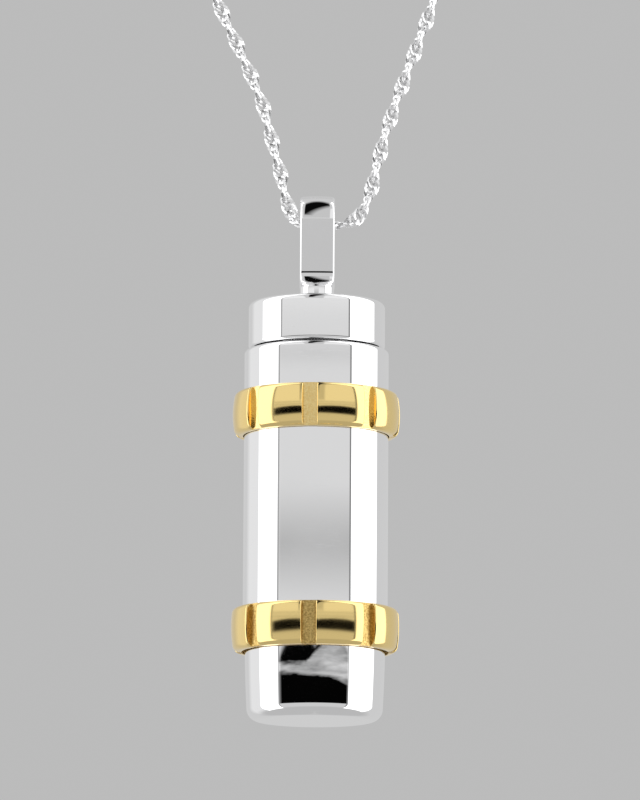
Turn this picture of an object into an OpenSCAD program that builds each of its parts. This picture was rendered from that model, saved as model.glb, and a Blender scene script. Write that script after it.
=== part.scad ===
// Keepsake urn pendant: a polished silver cylinder with two notched gold bands, a screw cap with a strap bail,
// and a fine twisted chain, worn at its full length. Millimetres, +Z up, the wearer faces -Y.
// The origin is the nape, where the chain crosses the back of the neck. The pendant hangs under it in front.

/* [Urn] */
// Outer diameter of the tube
tube_d = 9.3; // [8.6:0.1:9.8]
// Outer diameter of the foot just below the lower band
foot_d = 8.9; // [8.6:0.1:9.2]
// Outer diameter of the foot at its bottom, where it is narrower
foot_low_d = 8.75; // [8.4:0.05:9]
// Diameter of the ash chamber and of its mouth
chamber_d = 6.4; // [5.8:0.1:6.8]
// Height of the urn from its mouth to the bottom of the foot
urn_h = 24; // [22:0.1:26]
// Thickness of the urn's closed bottom
bottom_t = 1.8; // [1.2:0.1:2.4]

/* [Cap] */
// Outer diameter of the cap
cap_d = 8.8; // [8.2:0.1:9.2]
// Height of the cap
cap_h = 3; // [2.6:0.1:3.4]
// Length of the threaded post under the cap
post_l = 3.6; // [3:0.2:4]
// Pitch of the thread on the post
thread_pitch = 0.6; // [0.6:0.1:0.8]

/* [Bail] */
// Width of the bail's strap
bail_w = 2.25; // [2:0.05:2.5]
// Depth of the bail from front to back
bail_depth = 3.4; // [3.3:0.1:3.8]
// Thickness of the bail's strap
strap_t = 0.85; // [0.7:0.05:0.9]
// Height of the bail's loop
bail_h = 6.1; // [5.6:0.1:6.4]

/* [Bands] */
// Outer diameter of a band over its teeth
band_d = 10.8; // [10.6:0.1:11.2]
// Height of a band
band_h = 2.8; // [2.6:0.1:3.3]
// Number of notches round a band
notch_count = 8; // [6:1:10]
// Width of a notch
notch_w = 0.95; // [0.8:0.05:1.1]
// Depth of a notch
notch_depth = 0.4; // [0.3:0.05:0.45]
// Turn of the first notch from the front, to the wearer's right
notch_turn = 4.5; // [0:0.5:10]
// Radius of the curve that a band's outer face bulges by
band_dome_r = 6; // [5.6:0.1:12]

/* [Chain] */
// Width of the twisted chain
chain_w = 1; // [0.9:0.05:1]
// Outer diameter of the spring ring clasp
clasp_d = 5.2; // [5:0.1:5.6]

/* [Hidden] */
$fn = 64;

// The middle of the bail's round eye, which the pendant swings about
hang = [0, -112, -129];

// Heights along the pendant, measured down from the swing axis
bail_bottom = bail_depth / 2 - bail_h;
cap_top = bail_bottom - 0.95;
cap_bottom = cap_top - cap_h;
seam_gap = 0.12;
mouth_z = cap_bottom - seam_gap;
foot_z = mouth_z - urn_h;
upper_band_z = -12.66;
lower_band_z = -26.65;
foot_step_z = lower_band_z - band_h / 2 + 0.3;

// Clearances and small radii
band_gap = 0.02;
post_clearance = 0.06;
post_r = chamber_d / 2 - post_clearance;
thread_depth = 0.35;
eye_r = bail_depth / 2 - strap_t;
bail_corner_r = 0.75;
eye_corner_r = 0.4;
neck_r = 1.1;
flare_r = 1.5;
flare_fillet = 0.4;
foot_round = 0.55;
// Height of a band's widest point over its middle
band_dome_z = 0.2;
overlap = 0.05;

// The right strand from the nape down to the bail, as the wearer's left side is seen from the front
right_route = [
    [4.3, 0, 0], [14.5, -1, 0], [27, -4.5, -1], [39.5, -12, -2.5], [49.5, -24.5, -7], [54, -40, -14.5],
    [52.5, -55, -24.5], [46, -69, -37.5], [36.5, -81, -53], [27, -90, -69], [18.5, -97, -85],
    [12, -102.5, -100], [8, -106.5, -112], [5.4, -109, -119.6], [4.3, -110.2, -123.2], [3.7, -111, -125.8],
    [3.2, -111.6, -127.65], [2.6, -111.9, -128.65], [1.8, -112, -129.1], [1, -112, -129.17]
];
// Lowest point of the chain, a little under the swing axis
chain_low = [0, -112, -129.12];
// The last stretch of the left strand hangs steeper than the right one, and above it the two are alike
left_end = [
    [7.2, -106.5, -112], [4, -109, -119.6], [3, -110.2, -123.2], [2.45, -111, -125.4], [2.15, -111.5, -126.9],
    [1.85, -111.9, -128], [1.5, -112, -128.8], [1, -112, -129.15]
];
left_start = [5.5, 0, 0];
shared_points = 12;
left_route = concat([left_start], [for (i = [1 : shared_points - 1]) right_route[i]], left_end);
chain_route = concat(
    right_route,
    [chain_low],
    [for (i = [len(left_route) - 1 : -1 : 0]) [-left_route[i][0], left_route[i][1], left_route[i][2]]]
);
chain_sides = 8;
// A direction that the chain never runs along, from which each ring of the tube is turned
ring_up = [0, 0.6, -0.8];

// A point on the smooth curve through four neighbouring points, at t from the second to the third
function curve_point(a, b, c, d, t) =
    0.5 * (2 * b + (c - a) * t + (2 * a - 5 * b + 4 * c - d) * t * t + (3 * b - a - 3 * c + d) * t * t * t);

// The route with one more point halfway along each stretch
function smooth_route(p) = [
    for (i = [0 : len(p) - 2], t = [0, 0.5])
        curve_point(
            i == 0 ? 2 * p[0] - p[1] : p[i - 1],
            p[i],
            p[i + 1],
            i == len(p) - 2 ? 2 * p[i + 1] - p[i] : p[i + 2],
            t
        ),
    p[len(p) - 1]
];

function unit(v) = v / norm(v);

// The direction of the path at a point, from its neighbours
function direction(p, i) = unit(p[min(i + 1, len(p) - 1)] - p[max(i - 1, 0)]);

// One ring of the tube
function ring(p, i, r, sides) =
    let (along = direction(p, i), across = unit(cross(along, ring_up)), over = cross(across, along))
    [for (k = [0 : sides - 1]) p[i] + r * (cos(360 * k / sides) * across + sin(360 * k / sides) * over)];

module tube(p, r, sides) {
    last = len(p) - 1;
    points = [for (i = [0 : last]) each ring(p, i, r, sides)];
    faces = [
        [for (k = [0 : sides - 1]) k],
        for (i = [0 : last - 1], k = [0 : sides - 1])
            [i * sides + k, (i + 1) * sides + k, (i + 1) * sides + (k + 1) % sides, i * sides + (k + 1) % sides],
        [for (k = [sides - 1 : -1 : 0]) last * sides + k]
    ];
    polyhedron(points, faces);
}

// Half of a turned solid, from the axis out to radius r, with its two outer corners rounded
module turned_half(r, z_low, z_high, round_low, round_high) {
    translate([0, z_low + round_low]) square([r, z_high - round_high - z_low - round_low]);
    translate([0, z_low]) square([r - round_low, round_low + overlap]);
    translate([0, z_high - round_high - overlap]) square([r - round_high, round_high + overlap]);
    translate([r - round_low, z_low + round_low]) circle(round_low);
    translate([r - round_high, z_high - round_high]) circle(round_high);
}

// A round wire ring about the Z axis
module wire_ring(outer_d, wire_d) {
    rotate_extrude() translate([(outer_d - wire_d) / 2, 0]) circle(d = wire_d);
}

// The outline of the bail or of its eye: a round top about the swing axis and two rounded bottom corners
module bail_outline(half, z_low, corner_r) {
    circle(half);
    translate([-half, z_low + corner_r]) square([2 * half, -z_low - corner_r]);
    translate([corner_r - half, z_low]) square([2 * (half - corner_r), corner_r + overlap]);
    for (side = [-1, 1]) translate([side * (half - corner_r), z_low + corner_r]) circle(corner_r);
}

// The chain as a plain tube of its real length, from the end ring round the neck and through the bail
module chain() {
    color("gainsboro") tube(smooth_route(chain_route), chain_w / 2, chain_sides);
}

// A spring ring clasp at the nape, with the small fixed eye that the chain is linked to
module clasp() {
    color("silver") rotate([90, 0, 0]) {
        wire_ring(clasp_d, 0.9);
        translate([-(clasp_d / 2 + 0.7), 0, 0]) wire_ring(1.75, 0.45);
        translate([0.6, clasp_d / 2 - 0.2, 0]) cylinder(h = 0.5, r = 0.25, center = true);
        translate([0.6, clasp_d / 2 - 0.1, 0]) rotate([-90, 0, 0]) cylinder(h = 0.6, r = 0.25);
    }
}

// The link between the clasp's eye and the chain's left end
module clasp_link() {
    color("gainsboro") translate([-(clasp_d / 2 + 1.6), 0, 0]) wire_ring(2.2, 0.4);
}

// The ring on the chain's right end that the clasp closes on
module end_ring() {
    color("gainsboro") translate([2.45, 0, 0]) wire_ring(3.2, 0.55);
}

// The strap bail on its flared foot
module bail() {
    rotate([90, 0, 90]) linear_extrude(bail_w, center = true) difference() {
        bail_outline(bail_depth / 2, bail_bottom, bail_corner_r);
        bail_outline(eye_r, bail_bottom + strap_t, eye_corner_r);
    }
    rotate_extrude() {
        translate([0, cap_top - overlap]) square([neck_r, bail_bottom - cap_top + strap_t / 2]);
        difference() {
            translate([0, cap_top - overlap]) square([flare_r, flare_fillet + overlap]);
            translate([flare_r, cap_top + flare_fillet]) circle(flare_fillet);
        }
    }
}

// The screw post: a row of thread crests and roots, turned as one shape
module post() {
    turns = floor((post_l - thread_pitch) / thread_pitch);
    top = cap_bottom - thread_pitch / 2;
    rotate_extrude() polygon(concat(
        [[0, cap_bottom + overlap], [post_r - thread_depth, cap_bottom + overlap]],
        [
            for (i = [0 : turns - 1])
                each [
                    [post_r - thread_depth, top - i * thread_pitch],
                    [post_r, top - (i + 0.4) * thread_pitch],
                    [post_r, top - (i + 0.6) * thread_pitch]
                ]
        ],
        [[post_r - thread_depth, top - turns * thread_pitch], [post_r - thread_depth, cap_bottom - post_l]],
        [[0, cap_bottom - post_l]]
    ));
}

// The cap, its bail and its screw post are soldered into one piece
module cap_with_bail() {
    color("silver") translate(hang) {
        rotate_extrude() turned_half(cap_d / 2, cap_bottom, cap_top, 0.22, 0.35);
        bail();
        post();
    }
}

// Half of the foot: its wall leans in a little towards the bottom
module foot_half() {
    low_r = foot_low_d / 2;
    polygon([
        [0, foot_z],
        [low_r - foot_round, foot_z],
        [low_r, foot_z + foot_round],
        [foot_d / 2, foot_step_z],
        [foot_d / 2, foot_step_z + 0.5],
        [0, foot_step_z + 0.5]
    ]);
    translate([low_r - foot_round, foot_z + foot_round]) circle(foot_round);
}

// The tube with its closed foot, open at the mouth
module urn_body() {
    color("silver") translate(hang) difference() {
        rotate_extrude() {
            turned_half(tube_d / 2, foot_step_z, mouth_z, 0.1, 0.25);
            foot_half();
        }
        translate([0, 0, foot_z + bottom_t]) cylinder(h = urn_h, d = chamber_d);
    }
}

// A gold band: its outer face bulges like a pillow, and notches are cut down its whole height
module band(z_mid) {
    floor_r = band_d / 2 - notch_depth;
    translate([0, 0, z_mid]) difference() {
        rotate_extrude() difference() {
            intersection() {
                turned_half(band_d / 2, -band_h / 2, band_h / 2, 0.45, 0.35);
                translate([band_d / 2 - band_dome_r, band_dome_z]) circle(band_dome_r);
            }
            translate([0, -band_h]) square([tube_d / 2 + band_gap, 2 * band_h]);
        }
        for (i = [0 : notch_count - 1])
            rotate([0, 0, -90 - notch_turn + i * 360 / notch_count])
                translate([floor_r, -notch_w / 2, -band_h]) cube([1, notch_w, 2 * band_h]);
    }
}

module upper_band() {
    color("gold") translate(hang) band(upper_band_z);
}

module lower_band() {
    color("gold") translate(hang) band(lower_band_z);
}

chain();
clasp();
clasp_link();
end_ring();
cap_with_bail();
urn_body();
upper_band();
lower_band();
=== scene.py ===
import math

import bpy
from mathutils import Matrix, Vector


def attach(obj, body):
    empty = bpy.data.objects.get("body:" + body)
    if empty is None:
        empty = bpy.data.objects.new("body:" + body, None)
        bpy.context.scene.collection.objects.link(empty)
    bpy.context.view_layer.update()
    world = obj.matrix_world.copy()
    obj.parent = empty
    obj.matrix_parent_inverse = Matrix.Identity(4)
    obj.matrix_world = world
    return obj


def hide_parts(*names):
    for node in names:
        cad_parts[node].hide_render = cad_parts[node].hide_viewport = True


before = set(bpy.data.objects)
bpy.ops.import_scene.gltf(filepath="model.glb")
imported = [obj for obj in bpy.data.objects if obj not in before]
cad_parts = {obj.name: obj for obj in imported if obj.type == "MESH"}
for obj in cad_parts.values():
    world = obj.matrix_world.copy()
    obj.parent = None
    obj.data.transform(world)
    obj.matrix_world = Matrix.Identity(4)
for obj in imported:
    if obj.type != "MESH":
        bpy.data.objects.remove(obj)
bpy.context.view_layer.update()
bpy.ops.object.select_all(action="DESELECT")
MM = 0.001

# The pendant hangs from the middle of the chain in the bail's eye. Every turned piece of it shares the upright
# line through this point, and its heights are measured down from it.
HANG = Vector((0, -112, -129)) * MM


# Chain: about 1200 small oval curb links of silver wire. Each is turned a little further than the one before,
# so the flat chain twists as a ribbon does and flashes on every half turn. Rings at the nape hold both ends.
CHAIN_WIRE = 0.2
CHAIN_FLATNESS = 0.85
CHAIN_LINK_L = 1.12
CHAIN_LINK_W = 1.0
CHAIN_PITCH = 0.37
CHAIN_HALF_TWIST = 2.6
CHAIN_FIRST_TURN = math.radians(20)
ROUTE_STEPS = 24
RIGHT_STRAND = [
    (4.3, 0, 0), (14.5, -1, 0), (27, -4.5, -1), (39.5, -12, -2.5), (49.5, -24.5, -7), (54, -40, -14.5),
    (52.5, -55, -24.5), (46, -69, -37.5), (36.5, -81, -53), (27, -90, -69), (18.5, -97, -85),
    (12, -102.5, -100), (8, -106.5, -112), (5.4, -109, -119.6), (4.3, -110.2, -123.2), (3.7, -111, -125.8),
    (3.2, -111.6, -127.65), (2.6, -111.9, -128.65), (1.8, -112, -129.1), (1, -112, -129.17),
]
LEFT_END = [
    (7.2, -106.5, -112), (4, -109, -119.6), (3, -110.2, -123.2), (2.45, -111, -125.4),
    (2.15, -111.5, -126.9), (1.85, -111.9, -128), (1.5, -112, -128.8), (1, -112, -129.15),
]
CHAIN_LOW = (0, -112, -129.12)
LEFT_STRAND = [(5.5, 0, 0)] + RIGHT_STRAND[1:12] + LEFT_END


def smooth_route(points, steps):
    """Points along the smooth curve through the given ones, the given ones among them."""
    p = [2 * points[0] - points[1], *points, 2 * points[-1] - points[-2]]
    route = []
    for a, b, c, d in zip(p, p[1:], p[2:], p[3:]):
        squared = 2 * a - 5 * b + 4 * c - d
        cubed = 3 * b - a - 3 * c + d
        for i in range(steps):
            t = i / steps
            route.append(0.5 * (2 * b + (c - a) * t + squared * t**2 + cubed * t**3))
    return route + [points[-1]]


def evenly_spaced(route, pitch):
    """Places along the route, each one pitch further than the last."""
    places, travelled = [], 0.0
    for a, b in zip(route, route[1:]):
        length = (b - a).length
        while len(places) * pitch <= travelled + length:
            places.append(a.lerp(b, (len(places) * pitch - travelled) / length))
        travelled += length
    return places


chain_points = [Vector(p) * MM for p in [*RIGHT_STRAND, CHAIN_LOW]]
chain_points += [Vector((-x, y, z)) * MM for x, y, z in reversed(LEFT_STRAND)]
link_places = evenly_spaced(smooth_route(chain_points, ROUTE_STEPS), CHAIN_PITCH * MM)

bpy.ops.mesh.primitive_torus_add(
    major_segments=10,
    minor_segments=5,
    major_radius=(CHAIN_LINK_W - CHAIN_WIRE) / 2 * MM,
    minor_radius=CHAIN_WIRE / 2 * MM,
)
link = bpy.context.object
bpy.ops.object.mode_set(mode="EDIT")
bpy.ops.transform.resize(value=(CHAIN_LINK_L / CHAIN_LINK_W, 1, CHAIN_FLATNESS))
bpy.ops.object.mode_set(mode="OBJECT")
link_verts = [v.co.copy() for v in link.data.vertices]
link_faces = [tuple(f.vertices) for f in link.data.polygons]

chain_verts, chain_faces = [], []
across = Vector((0, 0, 1))
for i, place in enumerate(link_places):
    ahead = link_places[min(i + 1, len(link_places) - 1)] - link_places[max(i - 1, 0)]
    ahead.normalize()
    across = (across - across.dot(ahead) * ahead).normalized()
    roll = CHAIN_FIRST_TURN + i * math.pi * CHAIN_PITCH / CHAIN_HALF_TWIST
    flat = across * math.cos(roll) + ahead.cross(across) * math.sin(roll)
    stand = Matrix((ahead, flat, ahead.cross(flat))).transposed()
    first = len(chain_verts)
    chain_verts += [place + stand @ v for v in link_verts]
    chain_faces += [tuple(first + k for k in f) for f in link_faces]
chain_mesh = bpy.data.meshes.new("chain_links")
chain_mesh.from_pydata(chain_verts, [], chain_faces)
chain_links = bpy.data.objects.new("chain_links", chain_mesh)
bpy.context.scene.collection.objects.link(chain_links)
bpy.data.objects.remove(link)

# How much rougher a metal is where it has a hairline
HAIRLINE_ROUGHNESS = 0.05


def math_node(operation, *values):
    """The result of a math node, which is made in the node tree that the given sockets belong to."""
    tree = next(v for v in values if not isinstance(v, (int, float))).id_data
    node = tree.nodes.new("ShaderNodeMath")
    node.operation = operation
    for socket, value in zip(node.inputs, values):
        if isinstance(value, (int, float)):
            socket.default_value = value
        else:
            tree.links.new(value, socket)
    return node.outputs[0]


def polish_group():
    """Marks of wear on polished metal: fine hairlines in two directions, and soft patches of haze."""
    group = bpy.data.node_groups.new("polish_marks", "ShaderNodeTree")
    for socket in ("Hairlines", "Smooth", "Hazy"):
        group.interface.new_socket(socket, in_out="INPUT", socket_type="NodeSocketFloat")
    for socket in ("Roughness", "Height"):
        group.interface.new_socket(socket, in_out="OUTPUT", socket_type="NodeSocketFloat")
    nodes, links = group.nodes, group.links
    given = nodes.new("NodeGroupInput")
    made = nodes.new("NodeGroupOutput")
    place = nodes.new("ShaderNodeTexCoord")
    heights = []
    for turn_deg, stretch in ((12, 30), (-38, 22)):
        mapping = nodes.new("ShaderNodeMapping")
        turns = (turn_deg, turn_deg * 2, 90 + turn_deg)
        mapping.inputs["Rotation"].default_value = [math.radians(a) for a in turns]
        mapping.inputs["Scale"].default_value = (1, 1, stretch)
        lines = nodes.new("ShaderNodeTexNoise")
        lines.inputs["Scale"].default_value = 900
        lines.inputs["Detail"].default_value = 3
        thin = nodes.new("ShaderNodeMapRange")
        thin.inputs["From Min"].default_value = 0.62
        thin.inputs["From Max"].default_value = 0.72
        links.new(place.outputs["Object"], mapping.inputs["Vector"])
        links.new(mapping.outputs["Vector"], lines.inputs["Vector"])
        links.new(lines.outputs["Fac"], thin.inputs["Value"])
        heights.append(thin.outputs["Result"])
    amount = math_node("MULTIPLY", math_node("ADD", *heights), given.outputs["Hairlines"])
    haze = nodes.new("ShaderNodeTexNoise")
    haze.inputs["Scale"].default_value = 260
    haze.inputs["Detail"].default_value = 4
    links.new(place.outputs["Object"], haze.inputs["Vector"])
    spread = nodes.new("ShaderNodeMapRange")
    spread.inputs["From Min"].default_value = 0.35
    spread.inputs["From Max"].default_value = 0.7
    links.new(haze.outputs["Fac"], spread.inputs["Value"])
    links.new(given.outputs["Smooth"], spread.inputs["To Min"])
    links.new(given.outputs["Hazy"], spread.inputs["To Max"])
    rough = math_node("MULTIPLY_ADD", amount, HAIRLINE_ROUGHNESS, spread.outputs["Result"])
    links.new(rough, made.inputs["Roughness"])
    links.new(amount, made.inputs["Height"])
    return group


def metal(name, colour, smooth, hazy, hairlines, depth):
    """A metal with polish marks: how rough its smooth and its hazy patches are, how strong its hairlines are,
    and how deep they are in metres."""
    material = bpy.data.materials.new(name)
    material.use_nodes = True
    nodes, links = material.node_tree.nodes, material.node_tree.links
    shader = nodes["Principled BSDF"]
    shader.inputs["Base Color"].default_value = (*colour, 1)
    shader.inputs["Metallic"].default_value = 1
    marks = nodes.new("ShaderNodeGroup")
    marks.node_tree = bpy.data.node_groups.get("polish_marks") or polish_group()
    marks.inputs["Hairlines"].default_value = hairlines
    marks.inputs["Smooth"].default_value = smooth
    marks.inputs["Hazy"].default_value = hazy
    bump = nodes.new("ShaderNodeBump")
    bump.inputs["Distance"].default_value = depth
    bump.inputs["Strength"].default_value = 1
    bump.invert = True
    links.new(marks.outputs["Roughness"], shader.inputs["Roughness"])
    links.new(marks.outputs["Height"], bump.inputs["Height"])
    links.new(bump.outputs["Normal"], shader.inputs["Normal"])
    return material


chain_silver = metal("chain_silver", (0.94, 0.94, 0.945), 0.2, 0.3, 0.2, 1e-7)
chain_mesh.materials.append(chain_silver)
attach(chain_links, "necklace")
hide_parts("chain")


# Clasp and its rings: a spring ring with a fixed eye, a small link to the chain's left end, and the ring that
# it closes on. They are drawn silver wire, bent and soldered shut, and keep the solids' own shape.
for name in ("clasp", "clasp_link", "end_ring"):
    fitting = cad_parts[name]
    fitting.data.materials.clear()
    fitting.data.materials.append(chain_silver)


# Cap: a short turned silver cylinder, closed on top, mirror polished with eased rims. The seam under it shows
# as a thin dark line.
CAP_R = 4.4
CAP_TOP = -5.35
CAP_BOTTOM = -8.35
CAP_TOP_EASE = 0.35
CAP_LOW_EASE = 0.22
TURN_STEPS = 144
# A point this close to the end of a straight wall keeps the wall's shading straight
NEAR = 0.04


def along(x=0, y=0, z=0):
    """The place this many millimetres from where the pendant hangs."""
    return HANG + Vector((x, y, z)) * MM


def arc(r, z, radius, start, end, steps=8):
    """Points of a rounded corner about (r, z), from one angle to another, 0 pointing outwards and 90 up."""
    angles = [math.radians(start + (end - start) * i / steps) for i in range(steps + 1)]
    return [(r + radius * math.cos(a), z + radius * math.sin(a)) for a in angles]


def draw(points):
    """A new object with one line of points, drawn by extruding a single vertex from point to point."""
    bpy.ops.object.select_all(action="DESELECT")
    bpy.ops.mesh.primitive_plane_add(size=0.1 * MM, location=points[0])
    bpy.ops.object.mode_set(mode="EDIT")
    bpy.ops.mesh.select_mode(type="VERT")
    bpy.ops.mesh.merge(type="CENTER")
    for a, b in zip(points, points[1:]):
        bpy.ops.mesh.extrude_region_move(TRANSFORM_OT_translate={"value": b - a})
    return bpy.context.object


def close_up(piece):
    """Welds the seams, turns every face outwards, puts the place in the mesh and smooths the shading."""
    bpy.ops.mesh.select_all(action="SELECT")
    bpy.ops.mesh.remove_doubles(threshold=0.0005 * MM)
    bpy.ops.mesh.normals_make_consistent(inside=False)
    bpy.ops.object.mode_set(mode="OBJECT")
    bpy.ops.object.transform_apply(location=True, rotation=True, scale=True)
    bpy.ops.object.shade_smooth_by_angle(angle=math.radians(40))
    return piece


def turned(name, outline, steps=TURN_STEPS):
    """A piece turned on the lathe from an outline of (radius, height) points."""
    piece = draw([along(x=r, z=z) for r, z in outline])
    piece.name = name
    bpy.ops.mesh.select_all(action="SELECT")
    bpy.ops.mesh.spin(steps=steps, angle=2 * math.pi, center=HANG, axis=(0, 0, 1))
    return close_up(piece)


silver = metal("polished_silver", (0.95, 0.95, 0.955), 0.015, 0.035, 0.15, 1e-7)
cap = turned(
    "cap",
    [(0, CAP_BOTTOM), (CAP_R - CAP_LOW_EASE - NEAR, CAP_BOTTOM)]
    + arc(CAP_R - CAP_LOW_EASE, CAP_BOTTOM + CAP_LOW_EASE, CAP_LOW_EASE, -90, 0)
    + [(CAP_R, CAP_BOTTOM + CAP_LOW_EASE + NEAR), (CAP_R, CAP_TOP - CAP_TOP_EASE - NEAR)]
    + arc(CAP_R - CAP_TOP_EASE, CAP_TOP - CAP_TOP_EASE, CAP_TOP_EASE, 0, 90)
    + [(CAP_R - CAP_TOP_EASE - NEAR, CAP_TOP), (0, CAP_TOP)],
)
cap.data.materials.append(silver)
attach(cap, "cap")
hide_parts("cap_with_bail")


# Bail: a flat silver strap bent into a long loop with a round top, which the chain runs through. It is soldered
# on a small flared foot in the middle of the cap.
STRAP_W = 2.25
STRAP_T = 0.85
STRAP_EASE = 0.2
STRAP_CROWN_R = 10
STRAP_CROWN_STEPS = 12
STRAP_CROWN_LEAN = 6
BAIL_R = 1.7
BAIL_BOTTOM = -4.4
BAIL_CORNER_R = 0.9
FOOT_R = 1.1
FLARE_R = 1.5
FLARE_FILLET = 0.4
# How far a soldered piece reaches into its neighbour
SUNK = 0.1


def go(x=0, y=0, z=0):
    """Extrudes what is selected by a step in millimetres."""
    bpy.ops.mesh.extrude_region_move(TRANSFORM_OT_translate={"value": Vector((x, y, z)) * MM})


def go_straight(distance, x=0, y=0, z=0):
    """The same for a straight wall, with a narrow step at each end that keeps the wall's shading straight."""
    for part in (NEAR, distance - 2 * NEAR, NEAR):
        go(x * part, y * part, z * part)


# The outer face is crowned a little across its width, and every edge is eased
strap_half = STRAP_W / 2
corner_x = strap_half - STRAP_EASE
inner_corner_y = STRAP_T - STRAP_EASE
outer_corner_y = corner_x**2 / (2 * STRAP_CROWN_R) + STRAP_EASE
crown = [strap_half * (2 * i / STRAP_CROWN_STEPS - 1) for i in range(1, STRAP_CROWN_STEPS)]
section = [(x, x * x / (2 * STRAP_CROWN_R)) for x in crown if abs(x) <= corner_x]
section += arc(corner_x, outer_corner_y, STRAP_EASE, STRAP_CROWN_LEAN - 90, 0, 5)
section += arc(corner_x, inner_corner_y, STRAP_EASE, 0, 90, 5)
section += arc(-corner_x, inner_corner_y, STRAP_EASE, 90, 180, 5)
section += arc(-corner_x, outer_corner_y, STRAP_EASE, 180, 270 - STRAP_CROWN_LEAN, 5)
bail = draw([along(x=x, y=y - BAIL_R, z=BAIL_BOTTOM + BAIL_CORNER_R) for x, y in section])
bail.name = "bail"
bpy.ops.mesh.select_all(action="SELECT")
bpy.ops.mesh.edge_face_add()
go_straight(-BAIL_BOTTOM - BAIL_CORNER_R, z=1)
bpy.ops.mesh.spin(steps=36, angle=math.pi, center=HANG, axis=(1, 0, 0))
go_straight(-BAIL_BOTTOM - BAIL_CORNER_R, z=-1)
corner = along(y=BAIL_R - BAIL_CORNER_R, z=BAIL_BOTTOM + BAIL_CORNER_R)
bpy.ops.mesh.spin(steps=14, angle=math.pi / 2, center=corner, axis=(1, 0, 0))
go_straight(2 * (BAIL_R - BAIL_CORNER_R), y=-1)
corner = along(y=BAIL_CORNER_R - BAIL_R, z=BAIL_BOTTOM + BAIL_CORNER_R)
bpy.ops.mesh.spin(steps=14, angle=math.pi / 2, center=corner, axis=(1, 0, 0))
bpy.ops.mesh.delete(type="ONLY_FACE")
close_up(bail)
bail.data.materials.append(silver)
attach(bail, "cap")
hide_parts("cap_with_bail")

bail_foot = turned(
    "bail_foot",
    [(0, CAP_TOP - NEAR), (FLARE_R, CAP_TOP - NEAR), (FLARE_R, CAP_TOP + NEAR)]
    + arc(FLARE_R, CAP_TOP + FLARE_FILLET + NEAR, FLARE_FILLET, 270, 180)
    + [(FOOT_R, BAIL_BOTTOM + SUNK), (0, BAIL_BOTTOM + SUNK)],
    steps=64,
)
bail_foot.data.materials.append(silver)
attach(bail_foot, "cap")
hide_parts("cap_with_bail")


# Screw post: a stub of silver under the cap with a fine thread, which closes the urn. The thread is one wire of
# triangular section wound round the core.
POST_CORE_R = 2.79
POST_CREST_R = 3.14
POST_END = -11.95
POST_CHAMFER = 0.3
THREAD_PITCH = 0.6
THREAD_TURNS = 5
THREAD_CREST_W = 0.1
THREAD_ABOVE_END = 0.4
THREAD_STEPS = 64
THREAD_RUN_OUT_STEPS = 8

screw_post = turned(
    "screw_post",
    [(0, POST_END), (POST_CORE_R - POST_CHAMFER, POST_END), (POST_CORE_R, POST_END + POST_CHAMFER)]
    + [(POST_CORE_R, CAP_BOTTOM + SUNK), (0, CAP_BOTTOM + SUNK)],
    steps=96,
)
root_r = POST_CORE_R - SUNK
thread_section = [
    (root_r, -THREAD_PITCH / 2), (POST_CREST_R, -THREAD_CREST_W / 2),
    (POST_CREST_R, THREAD_CREST_W / 2), (root_r, THREAD_PITCH / 2),
]
thread = draw([Vector((r, 0, z)) * MM for r, z in thread_section])
bpy.ops.object.mode_set(mode="OBJECT")
bpy.ops.object.transform_apply(location=True, rotation=True, scale=True)
screw = thread.modifiers.new("thread", "SCREW")
screw.angle = 2 * math.pi * THREAD_TURNS
screw.screw_offset = THREAD_PITCH * THREAD_TURNS * MM
screw.steps = screw.render_steps = THREAD_STEPS * THREAD_TURNS
bpy.ops.object.modifier_apply(modifier="thread")
# Over its last eighth of a turn at each end, the thread runs out into the core
last_step = THREAD_STEPS * THREAD_TURNS
for vertex in thread.data.vertices:
    step = vertex.index // len(thread_section)
    share = min(1, min(step, last_step - step) / THREAD_RUN_OUT_STEPS)
    r = vertex.co.xy.length
    vertex.co.xy *= 1 + (share - 1) * max(0, r - root_r * MM) / r
thread.location = along(z=POST_END + THREAD_ABOVE_END)
bpy.ops.object.transform_apply(location=True, rotation=True, scale=True)
bpy.ops.object.shade_smooth_by_angle(angle=math.radians(30))
screw_post.select_set(True)
bpy.context.view_layer.objects.active = screw_post
bpy.ops.object.join()
turned_silver = metal("turned_silver", (0.9, 0.9, 0.91), 0.16, 0.28, 1.0, 1e-6)
screw_post.data.materials.append(turned_silver)
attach(screw_post, "cap")
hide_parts("cap_with_bail")


# Urn body: one silver tube, mirror polished outside, with a slightly narrower foot below the lower band. It is
# bored from the mouth to hold the ashes, and the bore is left as turned.
TUBE_R = 4.65
URN_FOOT_R = 4.5
URN_FOOT_LEAN = 0.015
URN_FOOT_LOW_LEAN = 0.055
FOOT_WALL_STEPS = 12
CHAMBER_R = 3.2
MOUTH_Z = -8.47
MOUTH_EASE = 0.25
MOUTH_CHAMFER = 0.1
FOOT_Z = -32.47
FOOT_EASE = 0.8
FOOT_EASE_END = -3
FOOT_STEP_Z = -27.75
CHAMBER_FLOOR_Z = -30.67

foot_wall_h = FOOT_STEP_Z - FOOT_Z - FOOT_EASE
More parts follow.
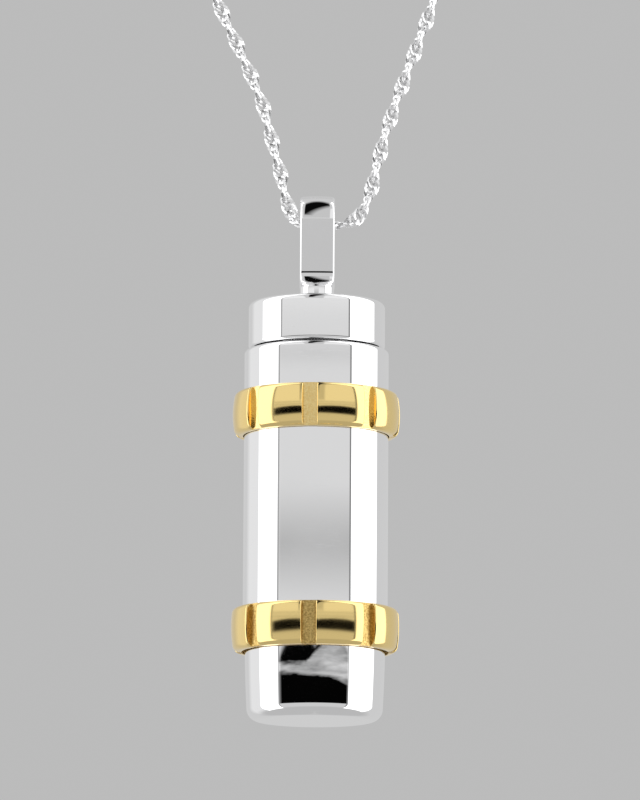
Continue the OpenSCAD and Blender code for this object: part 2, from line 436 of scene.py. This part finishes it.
# The foot narrows downwards, and faster the lower it is
foot_wall = []
for i in range(FOOT_WALL_STEPS + 1):
    s = foot_wall_h * (1 - i / FOOT_WALL_STEPS)
    lean = URN_FOOT_LEAN * s + (URN_FOOT_LOW_LEAN - URN_FOOT_LEAN) * s * s / (2 * foot_wall_h)
    foot_wall.append((URN_FOOT_R - lean, FOOT_STEP_Z - s))
foot_low_r = foot_wall[0][0]
urn_body = turned(
    "urn_body",
    [(0, FOOT_Z), (foot_low_r - FOOT_EASE - NEAR, FOOT_Z)]
    + arc(foot_low_r - FOOT_EASE, FOOT_Z + FOOT_EASE, FOOT_EASE, -90, FOOT_EASE_END, 16)
    + foot_wall
    + [(TUBE_R, FOOT_STEP_Z), (TUBE_R, FOOT_STEP_Z + NEAR), (TUBE_R, MOUTH_Z - MOUTH_EASE - NEAR)]
    + arc(TUBE_R - MOUTH_EASE, MOUTH_Z - MOUTH_EASE, MOUTH_EASE, 0, 90, 6)
    + [(TUBE_R - MOUTH_EASE - NEAR, MOUTH_Z), (CHAMBER_R + MOUTH_CHAMFER, MOUTH_Z)]
    + [(CHAMBER_R, MOUTH_Z - MOUTH_CHAMFER), (CHAMBER_R, CHAMBER_FLOOR_Z), (0, CHAMBER_FLOOR_Z)],
)
urn_body.data.materials.append(silver)
urn_body.data.materials.append(turned_silver)
# The bore's faces lie near the axis and no lower than its floor
for face in urn_body.data.polygons:
    spot = (face.center - HANG) / MM
    if math.hypot(spot.x, spot.y) < CHAMBER_R + MOUTH_CHAMFER / 2 and spot.z > CHAMBER_FLOOR_Z - NEAR:
        face.material_index = 1
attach(urn_body, "urn")
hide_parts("urn_body")


# Bands: two rings of yellow gold on the tube. Eight polished pillows stand out of each, and the upright notches
# between them are left satin.
BAND_R = 5.4
BAND_H = 2.8
BAND_TOP_EASE = 0.35
BAND_LOW_EASE = 0.45
PILLOW_FROM_R = 4.72
NOTCH_FLOOR_R = 5.0
NOTCH_COUNT = 8
NOTCH_W = 0.95
NOTCH_TURN = 4.5
TOOTH_EASE = 0.08
RING_INSET = 0.01
RING_H_SHARE = 0.992
# Height of each band, how high over its middle it is widest, and the radius that it bulges by
UPPER_BAND = (-12.66, 0.0, 6.0)
LOWER_BAND = (-26.65, 0.28, 9.0)


def satin_gold(name, dark, light, smooth, hazy, depth):
    """Gold with the fine even grain of a sandblasted surface, as deep as depth in metres."""
    material = metal(name, light, smooth, hazy, 0.0, depth)
    nodes, links = material.node_tree.nodes, material.node_tree.links
    place = nodes.new("ShaderNodeTexCoord")
    grain = nodes.new("ShaderNodeTexNoise")
    grain.inputs["Scale"].default_value = 10000
    grain.inputs["Detail"].default_value = 2
    bump = next(n for n in nodes if n.type == "BUMP")
    links.new(place.outputs["Object"], grain.inputs["Vector"])
    links.new(grain.outputs["Fac"], bump.inputs["Height"])
    mottle = nodes.new("ShaderNodeTexNoise")
    mottle.inputs["Scale"].default_value = 9000
    tint = nodes.new("ShaderNodeMix")
    tint.data_type = "RGBA"
    tint.inputs["A"].default_value = (*dark, 1)
    tint.inputs["B"].default_value = (*light, 1)
    contrast = nodes.new("ShaderNodeMapRange")
    contrast.inputs["From Min"].default_value = 0.36
    contrast.inputs["From Max"].default_value = 0.62
    links.new(place.outputs["Object"], mottle.inputs["Vector"])
    links.new(mottle.outputs["Fac"], contrast.inputs["Value"])
    links.new(contrast.outputs["Result"], tint.inputs["Factor"])
    links.new(tint.outputs["Result"], nodes["Principled BSDF"].inputs["Base Color"])
    return material


gold = metal("polished_gold", (0.97, 0.74, 0.31), 0.07, 0.11, 0.15, 1e-7)
# The upper band's notches are smoother and paler than the lower one's
pale_satin = satin_gold("pale_satin_gold", (0.94, 0.67, 0.26), (1, 0.78, 0.35), 0.12, 0.18, 3e-6)
dark_satin = satin_gold("dark_satin_gold", (0.55, 0.36, 0.11), (0.88, 0.64, 0.24), 0.34, 0.46, 1.2e-5)


half_h = BAND_H / 2
notch_angle = NOTCH_W / BAND_R
tooth_angle = 2 * math.pi / NOTCH_COUNT - notch_angle


def rim(height, ease, widest, bulge_r):
    """Middle of the rounding between the bulging face and the flat rim, and the angle where it meets the face."""
    up = height - math.copysign(ease, height) - widest
    out = math.sqrt((bulge_r - ease) ** 2 - up * up)
    return BAND_R - bulge_r + out, up + widest, math.degrees(math.atan2(up, out))


def tooth_outline(widest, bulge_r):
    """A pillow's outline of (radius, height) points, from its low inner edge round its face to its top one."""
    low_r, low_z, low_deg = rim(-half_h, BAND_LOW_EASE, widest, bulge_r)
    top_r, top_z, top_deg = rim(half_h, BAND_TOP_EASE, widest, bulge_r)
    return (
        [(PILLOW_FROM_R, -half_h)]
        + arc(low_r, low_z, BAND_LOW_EASE, -90, low_deg, 12)
        + arc(BAND_R - bulge_r, widest, bulge_r, low_deg, top_deg, 10)[1:-1]
        + arc(top_r, top_z, BAND_TOP_EASE, top_deg, 90, 10)
        + [(PILLOW_FROM_R, half_h)]
    )


def tooth(number, height, outline, satin):
    """One pillow: its section swept along its share of the ring, with the two ends eased."""
    start = math.radians(-90 - NOTCH_TURN) + notch_angle / 2 + number * 2 * math.pi / NOTCH_COUNT
    turn = Matrix.Rotation(start, 3, "Z")
    points = [HANG + turn @ Vector((r, 0, z + height)) * MM for r, z in outline]
    piece = draw(points)
    bpy.ops.mesh.select_all(action="SELECT")
    bpy.ops.mesh.edge_face_add()
    bpy.ops.mesh.spin(steps=12, angle=-tooth_angle, center=HANG, axis=(0, 0, 1))
    bpy.ops.object.mode_set(mode="OBJECT")
    ends = [f for f in piece.data.polygons if len(f.vertices) > 4]
    end_edges = {key for f in ends for key in f.edge_keys}
    for edge in piece.data.edges:
        edge.select = edge.key in end_edges
    bpy.ops.object.mode_set(mode="EDIT")
    bpy.ops.mesh.select_mode(type="EDGE")
    bpy.ops.mesh.bevel(offset=TOOTH_EASE * MM, segments=4, affect="EDGES", clamp_overlap=True)
    close_up(piece)
    piece.data.materials.append(gold)
    piece.data.materials.append(satin)
    for face in piece.data.polygons:
        face.material_index = 1 if len(face.vertices) > 4 else 0
    return piece


def band(name, height, widest, bulge_r, satin):
    """The satin ring with its eight polished pillows, as one piece. The ring's rims lie just inside theirs."""
    outline = tooth_outline(widest, bulge_r)
    section = [(min(r, NOTCH_FLOOR_R) - RING_INSET, z * RING_H_SHARE + height) for r, z in outline]
    ring = turned(name, section + section[:1])
    ring.data.materials.append(satin)
    teeth = [tooth(i, height, outline, satin) for i in range(NOTCH_COUNT)]
    bpy.ops.object.select_all(action="DESELECT")
    for piece in teeth:
        piece.select_set(True)
    ring.select_set(True)
    bpy.context.view_layer.objects.active = ring
    bpy.ops.object.join()
    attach(ring, "urn")
    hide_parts(name)


band("upper_band", *UPPER_BAND, pale_satin)
band("lower_band", *LOWER_BAND, dark_satin)


# Studio: a pale floor under the necklace and a plain pale room round it, with a broad soft light on each side.
# The camera sees one even pale tone, and the polished metal reflects the room's panels.
FLOOR_Z = -0.42
FLOOR_R = 3.0

bpy.ops.mesh.primitive_circle_add(vertices=96, radius=FLOOR_R, fill_type="NGON", location=(0, 0, FLOOR_Z))
floor = bpy.context.object
floor.name = "floor"
floor.visible_glossy = False
paper = bpy.data.materials.new("pale_paper")
paper.use_nodes = True
paper.node_tree.nodes["Principled BSDF"].inputs["Base Color"].default_value = (0.64, 0.64, 0.635, 1)
paper.node_tree.nodes["Principled BSDF"].inputs["Roughness"].default_value = 0.8
floor.data.materials.append(paper)

# Panels of the room as seen from the pendant: from and to in degrees to the right of the camera, from and to in
# degrees above the horizon, how soft the edges are in degrees, and the tone. Later panels lie on earlier ones,
# and the side lights, with the dark edges of their screens, lie over everything else.
BACKDROP_TONE = 0.5
ROOM_TONE = 0.62
ROOM_PANELS = [
    (-181, 181, -91, -36, 12, 0.5),
    (-62, 57, 5.6, 14, 0.8, 0.71),
    (-62, 57, 11.6, 54, 1.2, 0.85),
    (-62, 57, 7.42, 7.92, 0.6, 0.44),
    (-62, 57, 9.38, 9.5, 0.15, 0.59),
    (-62, 57, 9.87, 10.13, 0.16, 0.8),
    (-62, 57, 10.17, 10.8, 0.12, 0.55),
]
SIDE_PANELS = [
    (-64.5, -61, -30, 70, 1.2, 0.1),
    (55.5, 59, -30, 70, 1.2, 0.2),
    (-138, -64, -30, 80, 14, 0.8),
    (-104, -64, -40, 80, 2, 1.7),
    (58.5, 114, -40, 80, 2, 1.7),
]
# A duller strip up the middle of the room, from and to as the part of the direction that points right
STRIP_SIDES = (-0.32, 0.19)
STRIP_HEIGHTS = (12.4, 60)
STRIP_SOFT = (0.05, 3)
STRIP_TONE = 0.57
# A small dark opening in the ceiling, from its back edge to its front one, which reaches further forward on the
# left. Places on the ceiling are measured to the right and to the back, as the level parts of the direction.
OPENING_BACK = 0.1
OPENING_BACK_CURVE = 20
OPENING_FRONT = -0.67
OPENING_FRONT_SLANT = 2.3
OPENING_SOFT = (0.22, 0.3)
OPENING_ABOVE = 25
OPENING_ABOVE_SOFT = 10
OPENING_TONE = 0.003
# A dark gap between the backdrop's foot and the floor. Its top falls from its widest places to the middle, and
# faster to its ends, so that each dark arc on the bands is arched. Its top edge is crisper than the others.
GAP_SIDES = (-62, 57)
GAP_LOW = -3.5
GAP_TOP = 5.7
GAP_WIDEST_AT = 30
GAP_TOP_FALLS = (1.0, 1.5)
GAP_LOW_RISE = 0.2
GAP_SOFT = (0.8, 2)
GAP_TONE = 0.001

world = bpy.data.worlds.new("studio")
bpy.context.scene.world = world
world.use_nodes = True
nodes, links = world.node_tree.nodes, world.node_tree.links


def degrees_right(parts):
    """How far to the right of straight ahead a place or a direction is, in degrees."""
    ahead = math_node("MULTIPLY", parts.outputs["Y"], -1.0)
    return math_node("DEGREES", math_node("ARCTAN2", parts.outputs["X"], ahead))


def soft_mask(inside, soft):
    """1 on the side of an edge where inside is positive, fading to 0 over the soft width about the edge."""
    rising = math_node("MULTIPLY_ADD", inside, 1 / soft, 0.5)
    return math_node("MINIMUM", math_node("MAXIMUM", rising, 0.0), 1.0)


def between(value, low, high, soft):
    """1 where the value lies between low and high."""
    over, under = math_node("SUBTRACT", value, low), math_node("SUBTRACT", high, value)
    return soft_mask(math_node("MINIMUM", over, under), soft)


where = nodes.new("ShaderNodeTexCoord")
parts = nodes.new("ShaderNodeSeparateXYZ")
links.new(where.outputs["Generated"], parts.inputs["Vector"])
side = degrees_right(parts)
height = math_node("DEGREES", math_node("ARCSINE", parts.outputs["Z"]))


def lay_over(tone, mask, bright):
    """The tone so far, with a brighter or darker one laid over it where the mask is."""
    uncovered = math_node("SUBTRACT", 1.0, mask)
    return math_node("MULTIPLY_ADD", uncovered, tone, math_node("MULTIPLY", mask, bright))


def lay_panels(tone, panels):
    """The tone so far, with the panels laid over it one after the other."""
    for left, right, low, high, soft, bright in panels:
        mask = math_node("MINIMUM", between(side, left, right, soft), between(height, low, high, soft))
        tone = lay_over(tone, mask, bright)
    return tone


tone = lay_panels(ROOM_TONE, ROOM_PANELS)
to_right, to_back = parts.outputs["X"], parts.outputs["Y"]
strip = math_node(
    "MINIMUM",
    between(to_right, *STRIP_SIDES, STRIP_SOFT[0]),
    between(height, *STRIP_HEIGHTS, STRIP_SOFT[1]),
)
tone = lay_over(tone, strip, STRIP_TONE)

aside = math_node("MULTIPLY", to_right, to_right)
opening_back = math_node("MULTIPLY_ADD", aside, -OPENING_BACK_CURVE, OPENING_BACK)
opening_front = math_node("MULTIPLY_ADD", to_right, OPENING_FRONT_SLANT, OPENING_FRONT)
opening = math_node(
    "MINIMUM",
    soft_mask(math_node("SUBTRACT", opening_back, to_back), OPENING_SOFT[0]),
    soft_mask(math_node("SUBTRACT", to_back, opening_front), OPENING_SOFT[1]),
)
above = soft_mask(math_node("SUBTRACT", height, OPENING_ABOVE), OPENING_ABOVE_SOFT)
tone = lay_over(tone, math_node("MINIMUM", opening, above), OPENING_TONE)

from_widest = math_node("SUBTRACT", math_node("ABSOLUTE", side), GAP_WIDEST_AT)
from_widest = math_node("DIVIDE", from_widest, GAP_WIDEST_AT)
taper = math_node("MULTIPLY", from_widest, from_widest)
outer_part = math_node("GREATER_THAN", from_widest, 0.0)
gap_fall = math_node("MULTIPLY_ADD", outer_part, GAP_TOP_FALLS[1] - GAP_TOP_FALLS[0], GAP_TOP_FALLS[0])
gap_top = math_node("SUBTRACT", GAP_TOP, math_node("MULTIPLY", taper, gap_fall))
gap_low = math_node("MULTIPLY_ADD", taper, GAP_LOW_RISE, GAP_LOW)
gap = math_node(
    "MINIMUM",
    soft_mask(math_node("SUBTRACT", gap_top, height), GAP_SOFT[0]),
    soft_mask(math_node("SUBTRACT", height, gap_low), GAP_SOFT[1]),
)
tone = lay_over(tone, math_node("MINIMUM", gap, between(side, *GAP_SIDES, GAP_SOFT[1])), GAP_TONE)
tone = lay_panels(tone, SIDE_PANELS)

background = nodes["Background"]
background.inputs["Color"].default_value = (1, 1, 1, 1)
plain = nodes.new("ShaderNodeBackground")
plain.inputs["Color"].default_value = (BACKDROP_TONE, BACKDROP_TONE, BACKDROP_TONE, 1)
seen = nodes.new("ShaderNodeLightPath")
mix = nodes.new("ShaderNodeMixShader")
links.new(tone, background.inputs["Strength"])
links.new(seen.outputs["Is Camera Ray"], mix.inputs["Fac"])
links.new(background.outputs["Background"], mix.inputs[1])
links.new(plain.outputs["Background"], mix.inputs[2])
links.new(mix.outputs["Shader"], nodes["World Output"].inputs["Surface"])
bpy.context.scene.view_settings.view_transform = "Standard"


# Painted reflection: a glowing veil close round the front of the foot, which the camera doesn't see. Its glow
# falls on the urn body alone, which mirrors it as a painted pale streak, low on the left and up to the band on
# the right.
GLOW_R = 7
GLOW_SIDES = (-43, 39.5)
GLOW_FROM = -31
GLOW_TO = -27.75
GLOW_LOW = -29.98
GLOW_LOW_FALL = 0.008
GLOW_TOP = -29.0
GLOW_TOP_FROM = -10
GLOW_TOP_RISE = 0.067
GLOW_RAGGED = 1.3
GLOW_EDGE = 0.3
GLOW_SIDE_EDGE = 1.5
GLOW_TONE = 0.4
GLOW_CONTRAST = 1.3
# How fine the ragged streaks of the painted reflection are across and upwards, and how far they tilt
STREAK_SCALE = (0.22, 0.22, 1.4)
STREAK_TILT = math.radians(-6)

bpy.ops.mesh.primitive_cylinder_add(
    vertices=96,
    radius=GLOW_R * MM,
    depth=(GLOW_TO - GLOW_FROM) * MM,
    end_fill_type="NOTHING",
    location=along(z=(GLOW_TO + GLOW_FROM) / 2),
)
veil = bpy.context.object
# The glowing veil that paints the pale reflection streak on the foot
veil.name = "haze"
bpy.ops.object.transform_apply(location=True, rotation=False, scale=False)
veil.visible_camera = veil.visible_diffuse = veil.visible_shadow = False
# The veil's material: clear, with a glow in ragged streaks that paints the reflection on the urn body
reflection_glow = bpy.data.materials.new("reflection_glow")
reflection_glow.use_nodes = True
nodes, links = reflection_glow.node_tree.nodes, reflection_glow.node_tree.links
nodes.clear()
where = nodes.new("ShaderNodeTexCoord")
centred = nodes.new("ShaderNodeMapping")
centred.inputs["Location"].default_value = -HANG / MM
centred.inputs["Scale"].default_value = (1 / MM, 1 / MM, 1 / MM)
links.new(where.outputs["Object"], centred.inputs["Vector"])
parts = nodes.new("ShaderNodeSeparateXYZ")
links.new(centred.outputs["Vector"], parts.inputs["Vector"])
side = degrees_right(parts)
height = parts.outputs["Z"]
drift = nodes.new("ShaderNodeMapping")
drift.inputs["Scale"].default_value = STREAK_SCALE
drift.inputs["Rotation"].default_value = (0, STREAK_TILT, 0)
streaks = nodes.new("ShaderNodeTexNoise")
streaks.inputs["Scale"].default_value = 1
streaks.inputs["Detail"].default_value = 4
links.new(centred.outputs["Vector"], drift.inputs["Vector"])
links.new(drift.outputs["Vector"], streaks.inputs["Vector"])
ragged = math_node("MULTIPLY", math_node("SUBTRACT", streaks.outputs["Fac"], 0.5), GLOW_RAGGED)
past_start = math_node("MAXIMUM", math_node("SUBTRACT", side, GLOW_TOP_FROM), 0.0)
glow_top = math_node("ADD", math_node("MULTIPLY_ADD", past_start, GLOW_TOP_RISE, GLOW_TOP), ragged)
glow_low = math_node("ADD", math_node("MULTIPLY_ADD", side, -GLOW_LOW_FALL, GLOW_LOW), ragged)
glow_mask = math_node(
    "MINIMUM",
    between(height, glow_low, glow_top, GLOW_EDGE),
    between(side, *GLOW_SIDES, GLOW_SIDE_EDGE),
)
glow = nodes.new("ShaderNodeEmission")
clear = nodes.new("ShaderNodeBsdfTransparent")
both = nodes.new("ShaderNodeAddShader")
made = nodes.new("ShaderNodeOutputMaterial")
glow_tone = math_node("MULTIPLY_ADD", streaks.outputs["Fac"], GLOW_CONTRAST, GLOW_TONE - GLOW_CONTRAST / 2)
links.new(math_node("MULTIPLY", glow_tone, glow_mask), glow.inputs["Strength"])
links.new(clear.outputs["BSDF"], both.inputs[0])
links.new(glow.outputs["Emission"], both.inputs[1])
links.new(both.outputs["Shader"], made.inputs["Surface"])
veil.data.materials.append(reflection_glow)
glow_receivers = bpy.data.collections.new("glow_receivers")
glow_receivers.objects.link(urn_body)
veil.light_linking.receiver_collection = glow_receivers


# Camera: a long lens a little below the pendant. It leans by a third of a degree, as the photo does.
CAMERA_BELOW = 9
CAMERA_LEAN = 0.335
CAMERA_DISTANCE = 0.4
PHOTO_W = 640
PHOTO_H = 800
PHOTO_PX_PER_MM = 15.5
AXIS_X_PX = 316.4
HANG_Y_PX = 221.75

view_h = PHOTO_H / PHOTO_PX_PER_MM * MM
below = math.radians(CAMERA_BELOW)
drop = (PHOTO_H / 2 - HANG_Y_PX) / PHOTO_PX_PER_MM / math.cos(below)
aim = along(x=(PHOTO_W / 2 - AXIS_X_PX) / PHOTO_PX_PER_MM, z=-drop)
back = Vector((0, -math.cos(below), -math.sin(below)))
bpy.ops.object.camera_add(location=aim + back * CAMERA_DISTANCE)
camera = bpy.context.object
lean = Matrix.Rotation(math.radians(CAMERA_LEAN), 4, "Z")
camera.rotation_euler = ((-back).to_track_quat("-Z", "Y").to_matrix().to_4x4() @ lean).to_euler()
camera.data.lens = camera.data.sensor_width * CAMERA_DISTANCE / view_h
camera.data.clip_start = 0.01
bpy.context.scene.camera = camera
